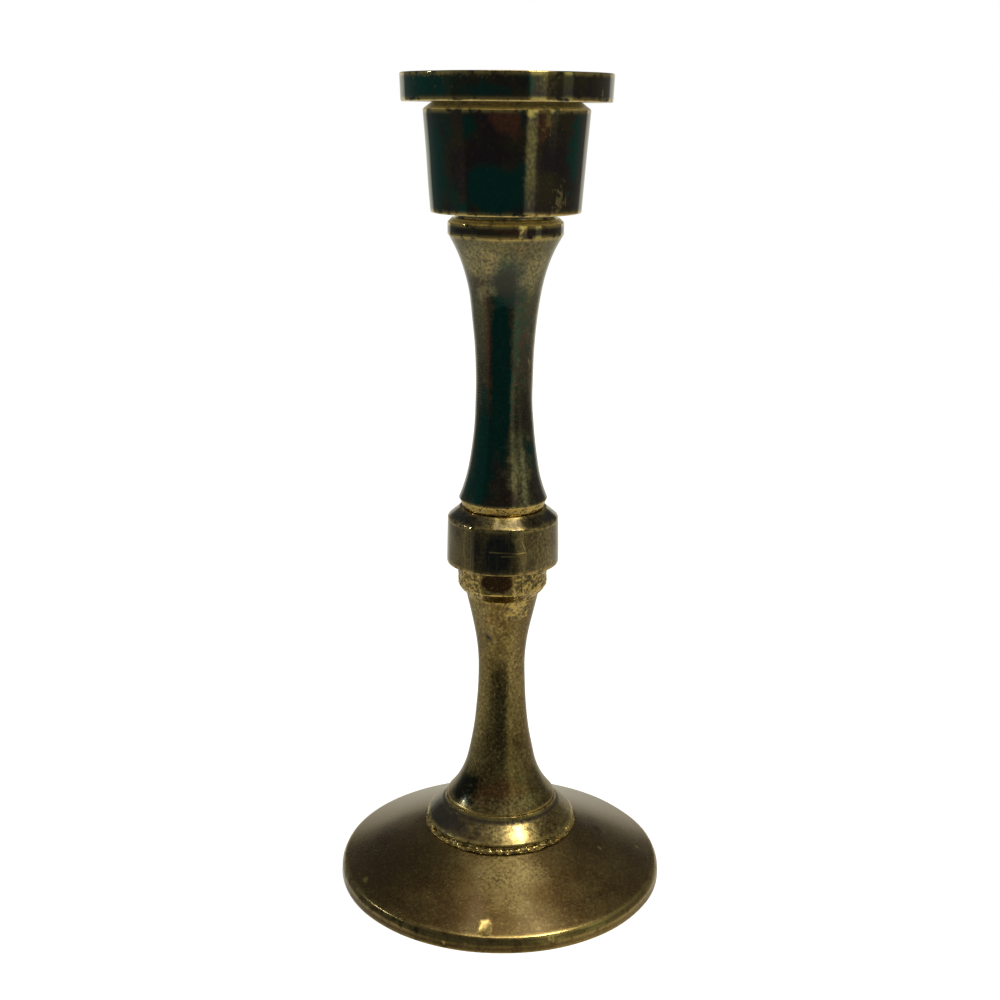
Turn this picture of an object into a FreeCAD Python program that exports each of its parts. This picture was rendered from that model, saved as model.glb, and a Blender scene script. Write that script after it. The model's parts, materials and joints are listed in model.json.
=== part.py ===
import FreeCAD, Part
import math
import os

# Altar candlestick in turned brass, built from stacked sections.
# Frame: millimetres, +Z up, origin at the centre of the base, on the surface it stands on.
# The sections are clamped between two nuts on a tie rod that runs up the middle.
# The drip pan and its candle sleeve are one brazed nozzle, which lifts out of the cup.

# ---- driving dimensions ----
OVERALL_HEIGHT = 152.5
BASE_RADIUS = 31.6
CANDLE_BORE_RADIUS = 11.25
SLEEVE_WALL = 0.9
SLEEVE_CLEARANCE = 0.1
TIE_ROD_RADIUS = 2.0
EDGE = 0.2
SAME_POINT = 1e-6

# ---- heights of the joints between the sections, from the floor up ----
BASE_TOP = 10.15
SHOULDER_TOP = 15.9
LOWER_STEM_TOP = 58.1
LOWER_RING_TOP = 64.4
KNOP_TOP = 75.0
UPPER_RING_TOP = 76.7
UPPER_STEM_TOP = 125.1
COLLAR_TOP = 128.1
CUP_BOTTOM = 129.0
CUP_TOP = 147.7

# ---- the bore for the tie rod, and the registers that centre one section on the next ----
ROD_CLEARANCE = 0.15
REGISTER_CLEARANCE = 0.05
REGISTER_END_GAP = 0.2
ROD_BORE_RADIUS = TIE_ROD_RADIUS + ROD_CLEARANCE
SPIGOT_RADIUS = 4.0
SPIGOT_LENGTH = 1.5
RECESS_RADIUS = SPIGOT_RADIUS + REGISTER_CLEARANCE
RECESS_DEPTH = SPIGOT_LENGTH + REGISTER_END_GAP

# ---- nozzle: drip pan and candle sleeve ----
PAN_TOP_RADIUS = 18.6
PAN_BOTTOM_RADIUS = 18.4
PAN_RIM_WIDTH = 0.9
PAN_DISH_DEPTH = 2.0
PAN_DISH_CURVE = 1.9
PAN_DISH_MIDDLE = (0.35, 0.75)
SLEEVE_BELOW_RIM = 0.3
SLEEVE_OUTER_RADIUS = CANDLE_BORE_RADIUS + SLEEVE_WALL
SLEEVE_TOP = OVERALL_HEIGHT - SLEEVE_BELOW_RIM
SLEEVE_FLOOR = 136.5
SLEEVE_BOTTOM = SLEEVE_FLOOR - SLEEVE_WALL

# ---- candle cup ----
CUP_TOP_RADIUS = 14.65
CUP_BOTTOM_RADIUS = 13.33
CUP_SHOULDER_WIDTH = 1.6
CUP_SHOULDER_HEIGHT = 1.2
CUP_BORE_RADIUS = SLEEVE_OUTER_RADIUS + SLEEVE_CLEARANCE
CUP_FLOOR = 131.2
CUP_FOOT_RADIUS = 9.0

# ---- collar, rings and knop ----
COLLAR_RADIUS = 10.34
COLLAR_CHAMFER = 0.8
UPPER_RING_TOP_RADIUS = 8.05
UPPER_RING_BOTTOM_RADIUS = 7.6
KNOP_CROWN_RADIUS = 8.1
KNOP_CROWN_HEIGHT = 1.9
KNOP_TOP_RADIUS = 10.36
KNOP_BOTTOM_RADIUS = 10.53
LOWER_RING_RADIUS = 8.45
LOWER_RING_BEVEL_HEIGHT = 1.8
LOWER_RING_BOTTOM_RADIUS = 7.0

# ---- stems: a long shallow arc at the waist runs into a tighter flare at each end ----
# A waist is (radius, height). An end is (radius, height, body arc's radius, height where the flare starts).
UPPER_WAIST = (5.2, 97.5)
UPPER_STEM_TOP_END = (10.2, UPPER_STEM_TOP, 120.0, 114.0)
UPPER_STEM_BOTTOM_END = (8.27, UPPER_RING_TOP, 86.0, 83.0)
UPPER_STEM_TOP_SPIGOT = 1.2
LOWER_WAIST = (4.45, 42.7)
LOWER_STEM_TOP_END = (6.9, LOWER_STEM_TOP, 42.0, 51.0)
BELL_RADIUS = 10.56
BELL_END = (BELL_RADIUS, SHOULDER_TOP, 85.0, 24.2)
BELL_LIP_HEIGHT = 0.35

# ---- foot: shoulder, braze bead and base ----
SHOULDER_LIP_RADIUS = 10.75
SHOULDER_CONE_TOP = (11.1, 14.9)
SHOULDER_RADIUS = 14.5
SHOULDER_EDGE_HEIGHT = 11.87
SHOULDER_FOOT_RADIUS = 13.6
BEAD_TOP = 11.45
BEAD_RADIUS = 14.95
BEAD_TOP_INSET = 0.5
BEAD_BULGE = 0.2
RIM_HEIGHT = 2.8
RIM_TOP_RADIUS = BASE_RADIUS - 0.55
RIM_BAND_RADIUS = BASE_RADIUS - 0.1
RIM_BAND_TOP = 1.75
BASE_WALL = 1.8
RIM_FOOT_WIDTH = 1.7
BOSS_RADIUS = 8.5
BOSS_BOTTOM = 6.0
BOSS_SLOPE = 0.8

# ---- fasteners on the tie rod ----
WASHER_RADIUS = 4.5
WASHER_THICKNESS = 0.8
LOCK_WASHER_RADIUS = 3.5
LOCK_WASHER_THICKNESS = 0.9
LOCK_WASHER_SLOT = 0.7
NUT_ACROSS_FLATS = 7.0
TOP_NUT_HEIGHT = 2.4
BOTTOM_NUT_HEIGHT = 3.2
ROD_END_STANDOUT = 0.5


class Outline:
    """A closed outline in the radius and height plane, turned about the Z axis."""

    def __init__(self, radius, height):
        self.start = FreeCAD.Vector(radius, 0, height)
        self.here = self.start
        self.edges = []

    def line(self, radius, height):
        end = FreeCAD.Vector(radius, 0, height)
        self.edges.append(Part.LineSegment(self.here, end).toShape())
        self.here = end
        return self

    def arc(self, through, end):
        middle = FreeCAD.Vector(through[0], 0, through[1])
        last = FreeCAD.Vector(end[0], 0, end[1])
        self.edges.append(Part.Arc(self.here, middle, last).toShape())
        self.here = last
        return self

    def turned(self):
        if self.here.distanceToPoint(self.start) > SAME_POINT:
            self.line(self.start.x, self.start.z)
        face = Part.Face(Part.Wire(self.edges))
        solid = face.revolve(FreeCAD.Vector(0, 0, 0), FreeCAD.Vector(0, 0, 1), 360)
        return Part.Solid(solid.Shells[0])


def flare(waist, end, body_arc, flare_height):
    """Points of the two tangent arcs from a stem's waist to one end of it."""
    waist_radius, waist_height = waist
    end_radius, end_height = end
    direction = 1 if end_height > waist_height else -1
    angle_0 = math.asin(abs(flare_height - waist_height) / body_arc)
    tangent_radius = waist_radius + body_arc * (1 - math.cos(angle_0))
    rise = abs(end_height - flare_height)
    angle_1 = 2 * math.atan2(end_radius - tangent_radius, rise) - angle_0
    flare_arc = rise / (math.sin(angle_1) - math.sin(angle_0))

    def on_body(angle):
        radius = waist_radius + body_arc * (1 - math.cos(angle))
        return radius, waist_height + direction * body_arc * math.sin(angle)

    def on_flare(angle):
        radius = tangent_radius + flare_arc * (math.cos(angle_0) - math.cos(angle))
        return radius, flare_height + direction * flare_arc * (math.sin(angle) - math.sin(angle_0))

    return [on_body(angle_0 / 2), on_body(angle_0), on_flare((angle_0 + angle_1) / 2), end]


def stem(waist, top_end, bottom_end, bottom_lip, top_spigot, bottom_spigot):
    """A waisted stem, bored for the tie rod, with a spigot at each end."""
    top_radius, top_height, top_arc, top_flare = top_end
    bottom_radius, bottom_height, bottom_arc, bottom_flare = bottom_end
    up = flare(waist, (top_radius, top_height), top_arc, top_flare)
    down = flare(waist, (bottom_radius, bottom_height + bottom_lip), bottom_arc, bottom_flare)
    outline = Outline(*waist)
    outline.arc(up[0], up[1]).arc(up[2], up[3])
    outline.line(SPIGOT_RADIUS, top_height)
    outline.line(SPIGOT_RADIUS, top_height + top_spigot)
    outline.line(ROD_BORE_RADIUS, top_height + top_spigot)
    outline.line(ROD_BORE_RADIUS, bottom_height - bottom_spigot)
    outline.line(SPIGOT_RADIUS, bottom_height - bottom_spigot)
    outline.line(SPIGOT_RADIUS, bottom_height)
    outline.line(bottom_radius, bottom_height)
    if bottom_lip:
        outline.line(bottom_radius, bottom_height + bottom_lip)
    outline.arc(down[2], down[1])
    outline.arc(down[0], waist)
    return outline.turned()


def drip_pan():
    """Thick round pan with a dished top; its hole is brazed round the candle sleeve."""
    rim_inner = PAN_TOP_RADIUS - PAN_RIM_WIDTH
    dish_floor = OVERALL_HEIGHT - PAN_DISH_DEPTH
    dish_floor_radius = rim_inner - PAN_DISH_CURVE
    share_in, share_down = PAN_DISH_MIDDLE
    dish_middle_radius = rim_inner - share_in * PAN_DISH_CURVE
    dish_middle_height = OVERALL_HEIGHT - share_down * PAN_DISH_DEPTH
    outline = Outline(SLEEVE_OUTER_RADIUS, CUP_TOP)
    outline.line(PAN_BOTTOM_RADIUS - EDGE, CUP_TOP)
    outline.line(PAN_BOTTOM_RADIUS, CUP_TOP + EDGE)
    outline.line(PAN_TOP_RADIUS, OVERALL_HEIGHT - EDGE)
    outline.line(PAN_TOP_RADIUS - EDGE, OVERALL_HEIGHT)
    outline.line(rim_inner, OVERALL_HEIGHT)
    outline.arc((dish_middle_radius, dish_middle_height), (dish_floor_radius, dish_floor))
    outline.line(SLEEVE_OUTER_RADIUS, dish_floor)
    return outline.turned()


def candle_sleeve():
    """Thin cup with a floor: it holds the candle's foot and catches the wax."""
    outline = Outline(0, SLEEVE_BOTTOM)
    outline.line(SLEEVE_OUTER_RADIUS - 2 * EDGE, SLEEVE_BOTTOM)
    outline.line(SLEEVE_OUTER_RADIUS, SLEEVE_BOTTOM + 2 * EDGE)
    outline.line(SLEEVE_OUTER_RADIUS, SLEEVE_TOP - EDGE)
    outline.line(SLEEVE_OUTER_RADIUS - EDGE, SLEEVE_TOP)
    outline.line(CANDLE_BORE_RADIUS, SLEEVE_TOP)
    outline.line(CANDLE_BORE_RADIUS, SLEEVE_FLOOR)
    outline.line(0, SLEEVE_FLOOR)
    return outline.turned()


def candle_cup():
    """Tapered cup with a sloped shoulder; a short foot under it seats in the collar."""
    shoulder_inner = CUP_TOP_RADIUS - CUP_SHOULDER_WIDTH
    outline = Outline(ROD_BORE_RADIUS, CUP_FLOOR)
    outline.line(CUP_BORE_RADIUS, CUP_FLOOR)
    outline.line(CUP_BORE_RADIUS, CUP_TOP)
    outline.line(shoulder_inner, CUP_TOP)
    outline.line(CUP_TOP_RADIUS, CUP_TOP - CUP_SHOULDER_HEIGHT)
    outline.line(CUP_BOTTOM_RADIUS, CUP_BOTTOM + EDGE)
    outline.line(CUP_BOTTOM_RADIUS - EDGE, CUP_BOTTOM)
    outline.line(CUP_FOOT_RADIUS, CUP_BOTTOM)
    outline.line(CUP_FOOT_RADIUS, COLLAR_TOP)
    outline.line(SPIGOT_RADIUS, COLLAR_TOP)
    outline.line(SPIGOT_RADIUS, COLLAR_TOP - SPIGOT_LENGTH)
    outline.line(ROD_BORE_RADIUS, COLLAR_TOP - SPIGOT_LENGTH)
    return outline.turned()


def cup_collar():
    """Flat collar under the cup, chamfered on top, open in the middle for the cup's spigot."""
    outline = Outline(RECESS_RADIUS, COLLAR_TOP)
    outline.line(COLLAR_RADIUS - COLLAR_CHAMFER, COLLAR_TOP)
    outline.line(COLLAR_RADIUS, COLLAR_TOP - COLLAR_CHAMFER)
    outline.line(COLLAR_RADIUS, UPPER_STEM_TOP + EDGE / 2)
    outline.line(COLLAR_RADIUS - EDGE / 2, UPPER_STEM_TOP)
    outline.line(RECESS_RADIUS, UPPER_STEM_TOP)
    return outline.turned()


def upper_stem():
    """Stem from the knop's ring to the collar; its lower spigot passes through the ring."""
    ring_thickness = UPPER_RING_TOP - KNOP_TOP
    return stem(
        UPPER_WAIST,
        UPPER_STEM_TOP_END,
        UPPER_STEM_BOTTOM_END,
        bottom_lip=0,
        top_spigot=UPPER_STEM_TOP_SPIGOT,
        bottom_spigot=ring_thickness + SPIGOT_LENGTH,
    )


def upper_ring():
    """Narrow ring under the upper stem, drawn in towards the knop."""
    outline = Outline(RECESS_RADIUS, KNOP_TOP)
    outline.line(UPPER_RING_BOTTOM_RADIUS, KNOP_TOP)
    outline.line(UPPER_RING_TOP_RADIUS, UPPER_RING_TOP)
    outline.line(RECESS_RADIUS, UPPER_RING_TOP)
    return outline.turned()


def knop():
    """Drum-shaped knop with a sloped crown and a fine bevel at its lower edge."""
    outline = Outline(RECESS_RADIUS, KNOP_TOP)
    outline.line(KNOP_CROWN_RADIUS, KNOP_TOP)
    outline.line(KNOP_TOP_RADIUS, KNOP_TOP - KNOP_CROWN_HEIGHT)
    outline.line(KNOP_BOTTOM_RADIUS, LOWER_RING_TOP + EDGE)
    outline.line(KNOP_BOTTOM_RADIUS - EDGE, LOWER_RING_TOP)
    outline.line(RECESS_RADIUS, LOWER_RING_TOP)
    outline.line(RECESS_RADIUS, LOWER_RING_TOP + RECESS_DEPTH)
    outline.line(ROD_BORE_RADIUS, LOWER_RING_TOP + RECESS_DEPTH)
    outline.line(ROD_BORE_RADIUS, KNOP_TOP - RECESS_DEPTH)
    outline.line(RECESS_RADIUS, KNOP_TOP - RECESS_DEPTH)
    return outline.turned()


def lower_ring():
    """Ring under the knop, bevelled in to the lower stem."""
    bevel_top = LOWER_STEM_TOP + LOWER_RING_BEVEL_HEIGHT
    outline = Outline(RECESS_RADIUS, LOWER_STEM_TOP)
    outline.line(LOWER_RING_BOTTOM_RADIUS, LOWER_STEM_TOP)
    outline.line(LOWER_RING_RADIUS, bevel_top)
    outline.line(LOWER_RING_RADIUS, LOWER_RING_TOP)
    outline.line(SPIGOT_RADIUS, LOWER_RING_TOP)
    outline.line(SPIGOT_RADIUS, LOWER_RING_TOP + SPIGOT_LENGTH)
    outline.line(ROD_BORE_RADIUS, LOWER_RING_TOP + SPIGOT_LENGTH)
    outline.line(ROD_BORE_RADIUS, LOWER_STEM_TOP + RECESS_DEPTH)
    outline.line(RECESS_RADIUS, LOWER_STEM_TOP + RECESS_DEPTH)
    return outline.turned()


def lower_stem():
    """Stem from the base shoulder to the knop; it opens into a bell with a thin upright lip."""
    return stem(
        LOWER_WAIST,
        LOWER_STEM_TOP_END,
        BELL_END,
        bottom_lip=BELL_LIP_HEIGHT,
        top_spigot=SPIGOT_LENGTH,
        bottom_spigot=SPIGOT_LENGTH,
    )


def base_shoulder():
    """Sloped shoulder between bell and base: a small lip, a cone and an undercut edge."""
    outline = Outline(RECESS_RADIUS, SHOULDER_TOP)
    outline.line(SHOULDER_LIP_RADIUS, SHOULDER_TOP)
    outline.line(*SHOULDER_CONE_TOP)
    outline.line(SHOULDER_RADIUS, SHOULDER_EDGE_HEIGHT)
    outline.line(SHOULDER_RADIUS - EDGE / 2, BEAD_TOP + EDGE / 2)
    outline.line(SHOULDER_FOOT_RADIUS, BEAD_TOP)
    outline.line(SHOULDER_FOOT_RADIUS, BASE_TOP)
    outline.line(SPIGOT_RADIUS, BASE_TOP)
    outline.line(SPIGOT_RADIUS, BASE_TOP - SPIGOT_LENGTH)
    outline.line(ROD_BORE_RADIUS, BASE_TOP - SPIGOT_LENGTH)
    outline.line(ROD_BORE_RADIUS, SHOULDER_TOP - RECESS_DEPTH)
    outline.line(RECESS_RADIUS, SHOULDER_TOP - RECESS_DEPTH)
    return outline.turned()


def braze_bead():
    """Bead of brazing metal in the corner between the shoulder's foot and the base."""
    bead_top_radius = SHOULDER_RADIUS - BEAD_TOP_INSET
    bulge_radius = (BEAD_RADIUS + bead_top_radius) / 2 + BEAD_BULGE
    bulge_height = (BASE_TOP + BEAD_TOP) / 2 + BEAD_BULGE
    outline = Outline(SHOULDER_FOOT_RADIUS, BASE_TOP)
    outline.line(BEAD_RADIUS, BASE_TOP)
    outline.arc((bulge_radius, bulge_height), (bead_top_radius, BEAD_TOP))
    outline.line(SHOULDER_FOOT_RADIUS, BEAD_TOP)
    return outline.turned()


def base_foot():
    """Shallow cone with an upright rim, hollow underneath, with a boss for the tie rod."""
    rim_inner = BASE_RADIUS - RIM_FOOT_WIDTH
    hollow_top = BASE_TOP - BASE_WALL
    outline = Outline(rim_inner, 0)
    outline.line(BASE_RADIUS - EDGE, 0)
    outline.line(BASE_RADIUS, EDGE)
    outline.line(RIM_BAND_RADIUS, RIM_BAND_TOP)
    outline.line(RIM_TOP_RADIUS + EDGE, RIM_HEIGHT - EDGE / 2)
    outline.line(RIM_TOP_RADIUS, RIM_HEIGHT)
    outline.line(BEAD_RADIUS, BASE_TOP)
    outline.line(RECESS_RADIUS, BASE_TOP)
    outline.line(RECESS_RADIUS, BASE_TOP - RECESS_DEPTH)
    outline.line(ROD_BORE_RADIUS, BASE_TOP - RECESS_DEPTH)
    outline.line(ROD_BORE_RADIUS, BOSS_BOTTOM)
    outline.line(BOSS_RADIUS, BOSS_BOTTOM)
    outline.line(BOSS_RADIUS + BOSS_SLOPE, hollow_top)
    outline.line(BEAD_RADIUS, hollow_top)
    outline.line(rim_inner - BOSS_SLOPE, RIM_HEIGHT - BASE_WALL)
    return outline.turned()


def washer(inner_radius, outer_radius, bottom, thickness):
    disc = Part.makeCylinder(outer_radius, thickness, FreeCAD.Vector(0, 0, bottom))
    hole = Part.makeCylinder(inner_radius, thickness, FreeCAD.Vector(0, 0, bottom))
    return disc.cut(hole)


def lock_washer(bottom):
    """Split spring washer, flattened under the nut."""
    ring = washer(ROD_BORE_RADIUS, LOCK_WASHER_RADIUS, bottom, LOCK_WASHER_THICKNESS)
    slot_corner = FreeCAD.Vector(0, -LOCK_WASHER_SLOT / 2, bottom)
    slot = Part.makeBox(2 * LOCK_WASHER_RADIUS, LOCK_WASHER_SLOT, LOCK_WASHER_THICKNESS, slot_corner)
    return ring.cut(slot)


def hex_nut(bottom, height):
    """Hexagon nut with the corners turned off at both faces."""
    corner_radius = NUT_ACROSS_FLATS / math.sqrt(3)
    chamfer = 2 * EDGE
    corners = []
    for index in range(7):
        angle = math.radians(60 * index)
        x = corner_radius * math.cos(angle)
        y = corner_radius * math.sin(angle)
        corners.append(FreeCAD.Vector(x, y, bottom))
    prism = Part.Face(Part.makePolygon(corners)).extrude(FreeCAD.Vector(0, 0, height))
    outline = Outline(TIE_ROD_RADIUS, bottom)
    outline.line(corner_radius - chamfer, bottom)
    outline.line(corner_radius, bottom + chamfer)
    outline.line(corner_radius, bottom + height - chamfer)
    outline.line(corner_radius - chamfer, bottom + height)
    outline.line(TIE_ROD_RADIUS, bottom + height)
    return prism.common(outline.turned())


def tie_rod(bottom, top):
    """Steel rod with bevelled ends; its threads are left as plain cylinders."""
    bevel = 2 * EDGE
    outline = Outline(0, bottom)
    outline.line(TIE_ROD_RADIUS - bevel, bottom)
    outline.line(TIE_ROD_RADIUS, bottom + bevel)
    outline.line(TIE_ROD_RADIUS, top - bevel)
    outline.line(TIE_ROD_RADIUS - bevel, top)
    outline.line(0, top)
    return outline.turned()


def fasteners():
    """The tie rod with its nuts and washers, stacked from the cup's floor and the base's boss."""
    top_nut_bottom = CUP_FLOOR + WASHER_THICKNESS
    bottom_washer_bottom = BOSS_BOTTOM - WASHER_THICKNESS
    lock_washer_bottom = bottom_washer_bottom - LOCK_WASHER_THICKNESS
    bottom_nut_bottom = lock_washer_bottom - BOTTOM_NUT_HEIGHT
    rod_bottom = bottom_nut_bottom - ROD_END_STANDOUT
    rod_top = top_nut_bottom + TOP_NUT_HEIGHT + ROD_END_STANDOUT
    return {
        "tie_rod": tie_rod(rod_bottom, rod_top),
        "top_washer": washer(ROD_BORE_RADIUS, WASHER_RADIUS, CUP_FLOOR, WASHER_THICKNESS),
        "top_nut": hex_nut(top_nut_bottom, TOP_NUT_HEIGHT),
        "bottom_washer": washer(ROD_BORE_RADIUS, WASHER_RADIUS, bottom_washer_bottom, WASHER_THICKNESS),
        "lock_washer": lock_washer(lock_washer_bottom),
        "bottom_nut": hex_nut(bottom_nut_bottom, BOTTOM_NUT_HEIGHT),
    }


def sections():
    """Every turned brass piece, from the top down."""
    return {
        "drip_pan": drip_pan(),
        "candle_sleeve": candle_sleeve(),
        "candle_cup": candle_cup(),
        "cup_collar": cup_collar(),
        "upper_stem": upper_stem(),
        "upper_ring": upper_ring(),
        "knop": knop(),
        "lower_ring": lower_ring(),
        "lower_stem": lower_stem(),
        "base_shoulder": base_shoulder(),
        "braze_bead": braze_bead(),
        "base_foot": base_foot(),
    }


def main():
    os.makedirs("parts", exist_ok=True)
    nodes = sections()
    nodes.update(fasteners())
    for name, shape in nodes.items():
        shape.exportStep("parts/" + name + ".step")
        print(name, "valid", shape.isValid(), "volume %.2f" % shape.Volume)


main()
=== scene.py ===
import bmesh
import bpy
import itertools
import json
import math
import numpy as np
from mathutils import Matrix, Vector

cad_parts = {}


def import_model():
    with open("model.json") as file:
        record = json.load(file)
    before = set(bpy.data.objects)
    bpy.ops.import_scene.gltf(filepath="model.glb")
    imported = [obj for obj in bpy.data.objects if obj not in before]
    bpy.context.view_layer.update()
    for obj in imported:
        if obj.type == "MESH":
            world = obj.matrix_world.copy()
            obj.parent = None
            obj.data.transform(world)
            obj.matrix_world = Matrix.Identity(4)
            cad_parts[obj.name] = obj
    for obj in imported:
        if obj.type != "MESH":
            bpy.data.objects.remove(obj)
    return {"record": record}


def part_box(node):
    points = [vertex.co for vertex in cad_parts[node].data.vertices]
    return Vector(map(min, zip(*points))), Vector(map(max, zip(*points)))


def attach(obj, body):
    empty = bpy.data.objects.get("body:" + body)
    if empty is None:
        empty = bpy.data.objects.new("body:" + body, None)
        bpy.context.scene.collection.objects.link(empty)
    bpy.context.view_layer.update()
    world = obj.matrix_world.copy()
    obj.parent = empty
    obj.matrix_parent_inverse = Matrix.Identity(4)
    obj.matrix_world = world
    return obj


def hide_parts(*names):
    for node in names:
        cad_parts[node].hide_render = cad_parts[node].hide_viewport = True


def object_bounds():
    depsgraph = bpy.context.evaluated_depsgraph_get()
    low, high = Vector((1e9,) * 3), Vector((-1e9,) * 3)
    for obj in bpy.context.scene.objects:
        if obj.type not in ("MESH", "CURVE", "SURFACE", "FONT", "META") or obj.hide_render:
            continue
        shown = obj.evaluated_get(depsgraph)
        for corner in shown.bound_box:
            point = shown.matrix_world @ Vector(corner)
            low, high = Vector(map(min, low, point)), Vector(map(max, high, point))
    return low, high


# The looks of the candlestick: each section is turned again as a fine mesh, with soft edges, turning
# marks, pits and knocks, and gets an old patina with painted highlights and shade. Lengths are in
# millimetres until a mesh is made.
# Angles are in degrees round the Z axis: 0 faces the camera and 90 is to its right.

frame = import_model()
cad_low, cad_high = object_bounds()

MM = 0.001
FLOOR_RADIUS = 900.0
FLOOR_CLOUD = 50.0
LIGHT_DISTANCE = 900.0
LATTICE = 24
SOFT_CORNER_POINTS = 6
PIT_INNER_RADIUS = 3.0

# ---- camera ----
CAMERA_DISTANCE = 250.0
CAMERA_HEIGHT = 146.0
CAMERA_SIDE = -0.6
CAMERA_PITCH = 15.63
CAMERA_ROLL = 0.5
SENSOR = 36.0
LENS = 49.9

# ---- sizes that the frame's boxes don't tell ----
EDGE = 0.2
ROD_BORE_RADIUS = 2.15
SPIGOT_RADIUS = 4.0
SPIGOT_LENGTH = 1.5
RECESS_RADIUS = 4.05
RECESS_DEPTH = 1.7
PAN_BOTTOM_RADIUS = 18.4
PAN_RIM_WIDTH = 0.9
PAN_DISH_DEPTH = 2.0
PAN_DISH_CURVE = 1.9
SLEEVE_WALL = 0.9
CUP_BOTTOM_RADIUS = 13.33
CUP_SHOULDER_WIDTH = 1.6
CUP_SHOULDER_HEIGHT = 1.2
CUP_CLEARANCE = 0.1
CUP_FOOT_RADIUS = 9.0
CUP_FOOT_LENGTH = 0.9
COLLAR_CHAMFER = 0.8
UPPER_RING_BOTTOM_RADIUS = 7.6
KNOP_CROWN_RADIUS = 8.1
KNOP_CROWN_HEIGHT = 1.9
KNOP_TOP_RADIUS = 10.36
LOWER_RING_BEVEL_HEIGHT = 1.8
LOWER_RING_BOTTOM_RADIUS = 7.0
# A stem's end is (radius, body arc's radius, height where the flare starts).
UPPER_WAIST = (5.2, 97.5)
UPPER_STEM_TOP_END = (10.2, 120.0, 114.0)
UPPER_STEM_BOTTOM_END = (8.27, 86.0, 83.0)
UPPER_STEM_TOP_SPIGOT = 1.2
LOWER_WAIST = (4.45, 42.7)
LOWER_STEM_TOP_END = (6.9, 42.0, 51.0)
BELL_END = (10.56, 85.0, 24.2)
BELL_LIP_HEIGHT = 0.35
SHOULDER_LIP_RADIUS = 10.75
SHOULDER_CONE_TOP = (11.1, 14.9)
SHOULDER_EDGE_HEIGHT = 11.87
SHOULDER_FOOT_RADIUS = 13.6
BEAD_TOP_INSET = 0.5
BEAD_BOTTOM_INSET = 0.02
BEAD_BULGE = 0.32
BEAD_TOP_GAP = 0.1
RIM_HEIGHT = 2.8
RIM_BAND_TOP = 1.75
RIM_TOP_INSET = 0.55
RIM_BAND_INSET = 0.1
BASE_WALL = 1.8
RIM_FOOT_WIDTH = 1.7
BOSS_RADIUS = 8.5
BOSS_BOTTOM = 6.0
BOSS_SLOPE = 0.8
NUT_ACROSS_FLATS = 7.0
LOCK_WASHER_SLOT = 0.7
THREAD_PITCH = 0.7
THREAD_DEPTH = 0.35
THREAD_LENGTH = 9.0


def span(node):
    """Outer radius, bottom and top of a CAD node, in millimetres."""
    low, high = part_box(node)
    return high.x / MM, low.z / MM, high.z / MM


def noise(points, seed):
    """Smooth random values from -1 to 1. One unit of the points is the size of one bump."""
    lattice = np.random.default_rng(seed).uniform(-1, 1, (LATTICE,) * 3)
    cell = np.floor(points).astype(int)
    part = points - cell
    part = part * part * (3 - 2 * part)
    total = np.zeros(points.shape[:-1])
    for corner in itertools.product((0, 1), repeat=3):
        weight = np.prod(np.where(corner, part, 1 - part), axis=-1)
        index = (cell + corner) % LATTICE
        total += weight * lattice[index[..., 0], index[..., 1], index[..., 2]]
    return total


def add_object(name, data):
    made = bpy.data.objects.new(name, data)
    bpy.context.scene.collection.objects.link(made)
    return made


def turning_way(radii, heights):
    """1 where an outline's corners go one way round, -1 where they go the other."""
    return np.sign(np.sum(radii * np.roll(heights, -1) - np.roll(radii, -1) * heights))


class Outline:
    """An outline in radius and height. Corners can be softened, and shown stretches are cut fine."""

    def __init__(self, step, closed=True):
        self.step = step
        self.closed = closed
        self.corners = []

    def to(self, radius, height, soft=0.0, fine=True):
        """Adds a corner. fine says whether the stretch that leads to it is cut into short steps."""
        self.corners.append((radius, height, soft, fine))
        return self

    def curve(self, points):
        for radius, height in points:
            self.to(radius, height)
        return self

    def hidden(self, *corners):
        """Adds corners with unseen stretches that lead to them."""
        for radius, height in corners:
            self.to(radius, height, fine=False)

    def softened(self):
        """The corners as points, with a small curve for each soft one. Bend is 1 where it turns out and
        -1 where it turns in."""
        count = len(self.corners)
        radii, heights = np.array([corner[:2] for corner in self.corners]).T
        way_round = turning_way(radii, heights)
        points = []
        for index, (radius, height, soft, fine) in enumerate(self.corners):
            here = np.array((radius, height))
            before = np.array(self.corners[index - 1][:2])
            after = np.array(self.corners[(index + 1) % count][:2])
            if soft <= 0:
                points.append((radius, height, 0.0, fine))
                continue
            into, out = before - here, after - here
            start = here + into * min(soft / np.linalg.norm(into), 0.45)
            end = here + out * min(soft / np.linalg.norm(out), 0.45)
            bend = way_round * np.sign(out[0] * into[1] - out[1] * into[0])
            for share in np.linspace(0, 1, SOFT_CORNER_POINTS):
                spot = (1 - share) ** 2 * start + 2 * share * (1 - share) * here + share**2 * end
                points.append((spot[0], spot[1], bend, fine if share == 0 else True))
        return points

    def sampled(self):
        """Radius, height and bend of each ring, and whether it is on a shown stretch."""
        points = self.softened()
        rings = []
        if not self.closed:
            rings.append(points[0])
        for index in range(0 if self.closed else 1, len(points)):
            start, end = points[index - 1], points[index]
            length = math.hypot(end[0] - start[0], end[1] - start[1])
            pieces = max(1, math.ceil(length / self.step)) if end[3] else 1
            for cut in range(1, pieces + 1):
                share = cut / pieces
                radius = start[0] + (end[0] - start[0]) * share
                height = start[1] + (end[1] - start[1]) * share
                rings.append((radius, height, end[2] if cut == pieces else 0.0, end[3]))
        return np.array(rings, float)


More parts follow.
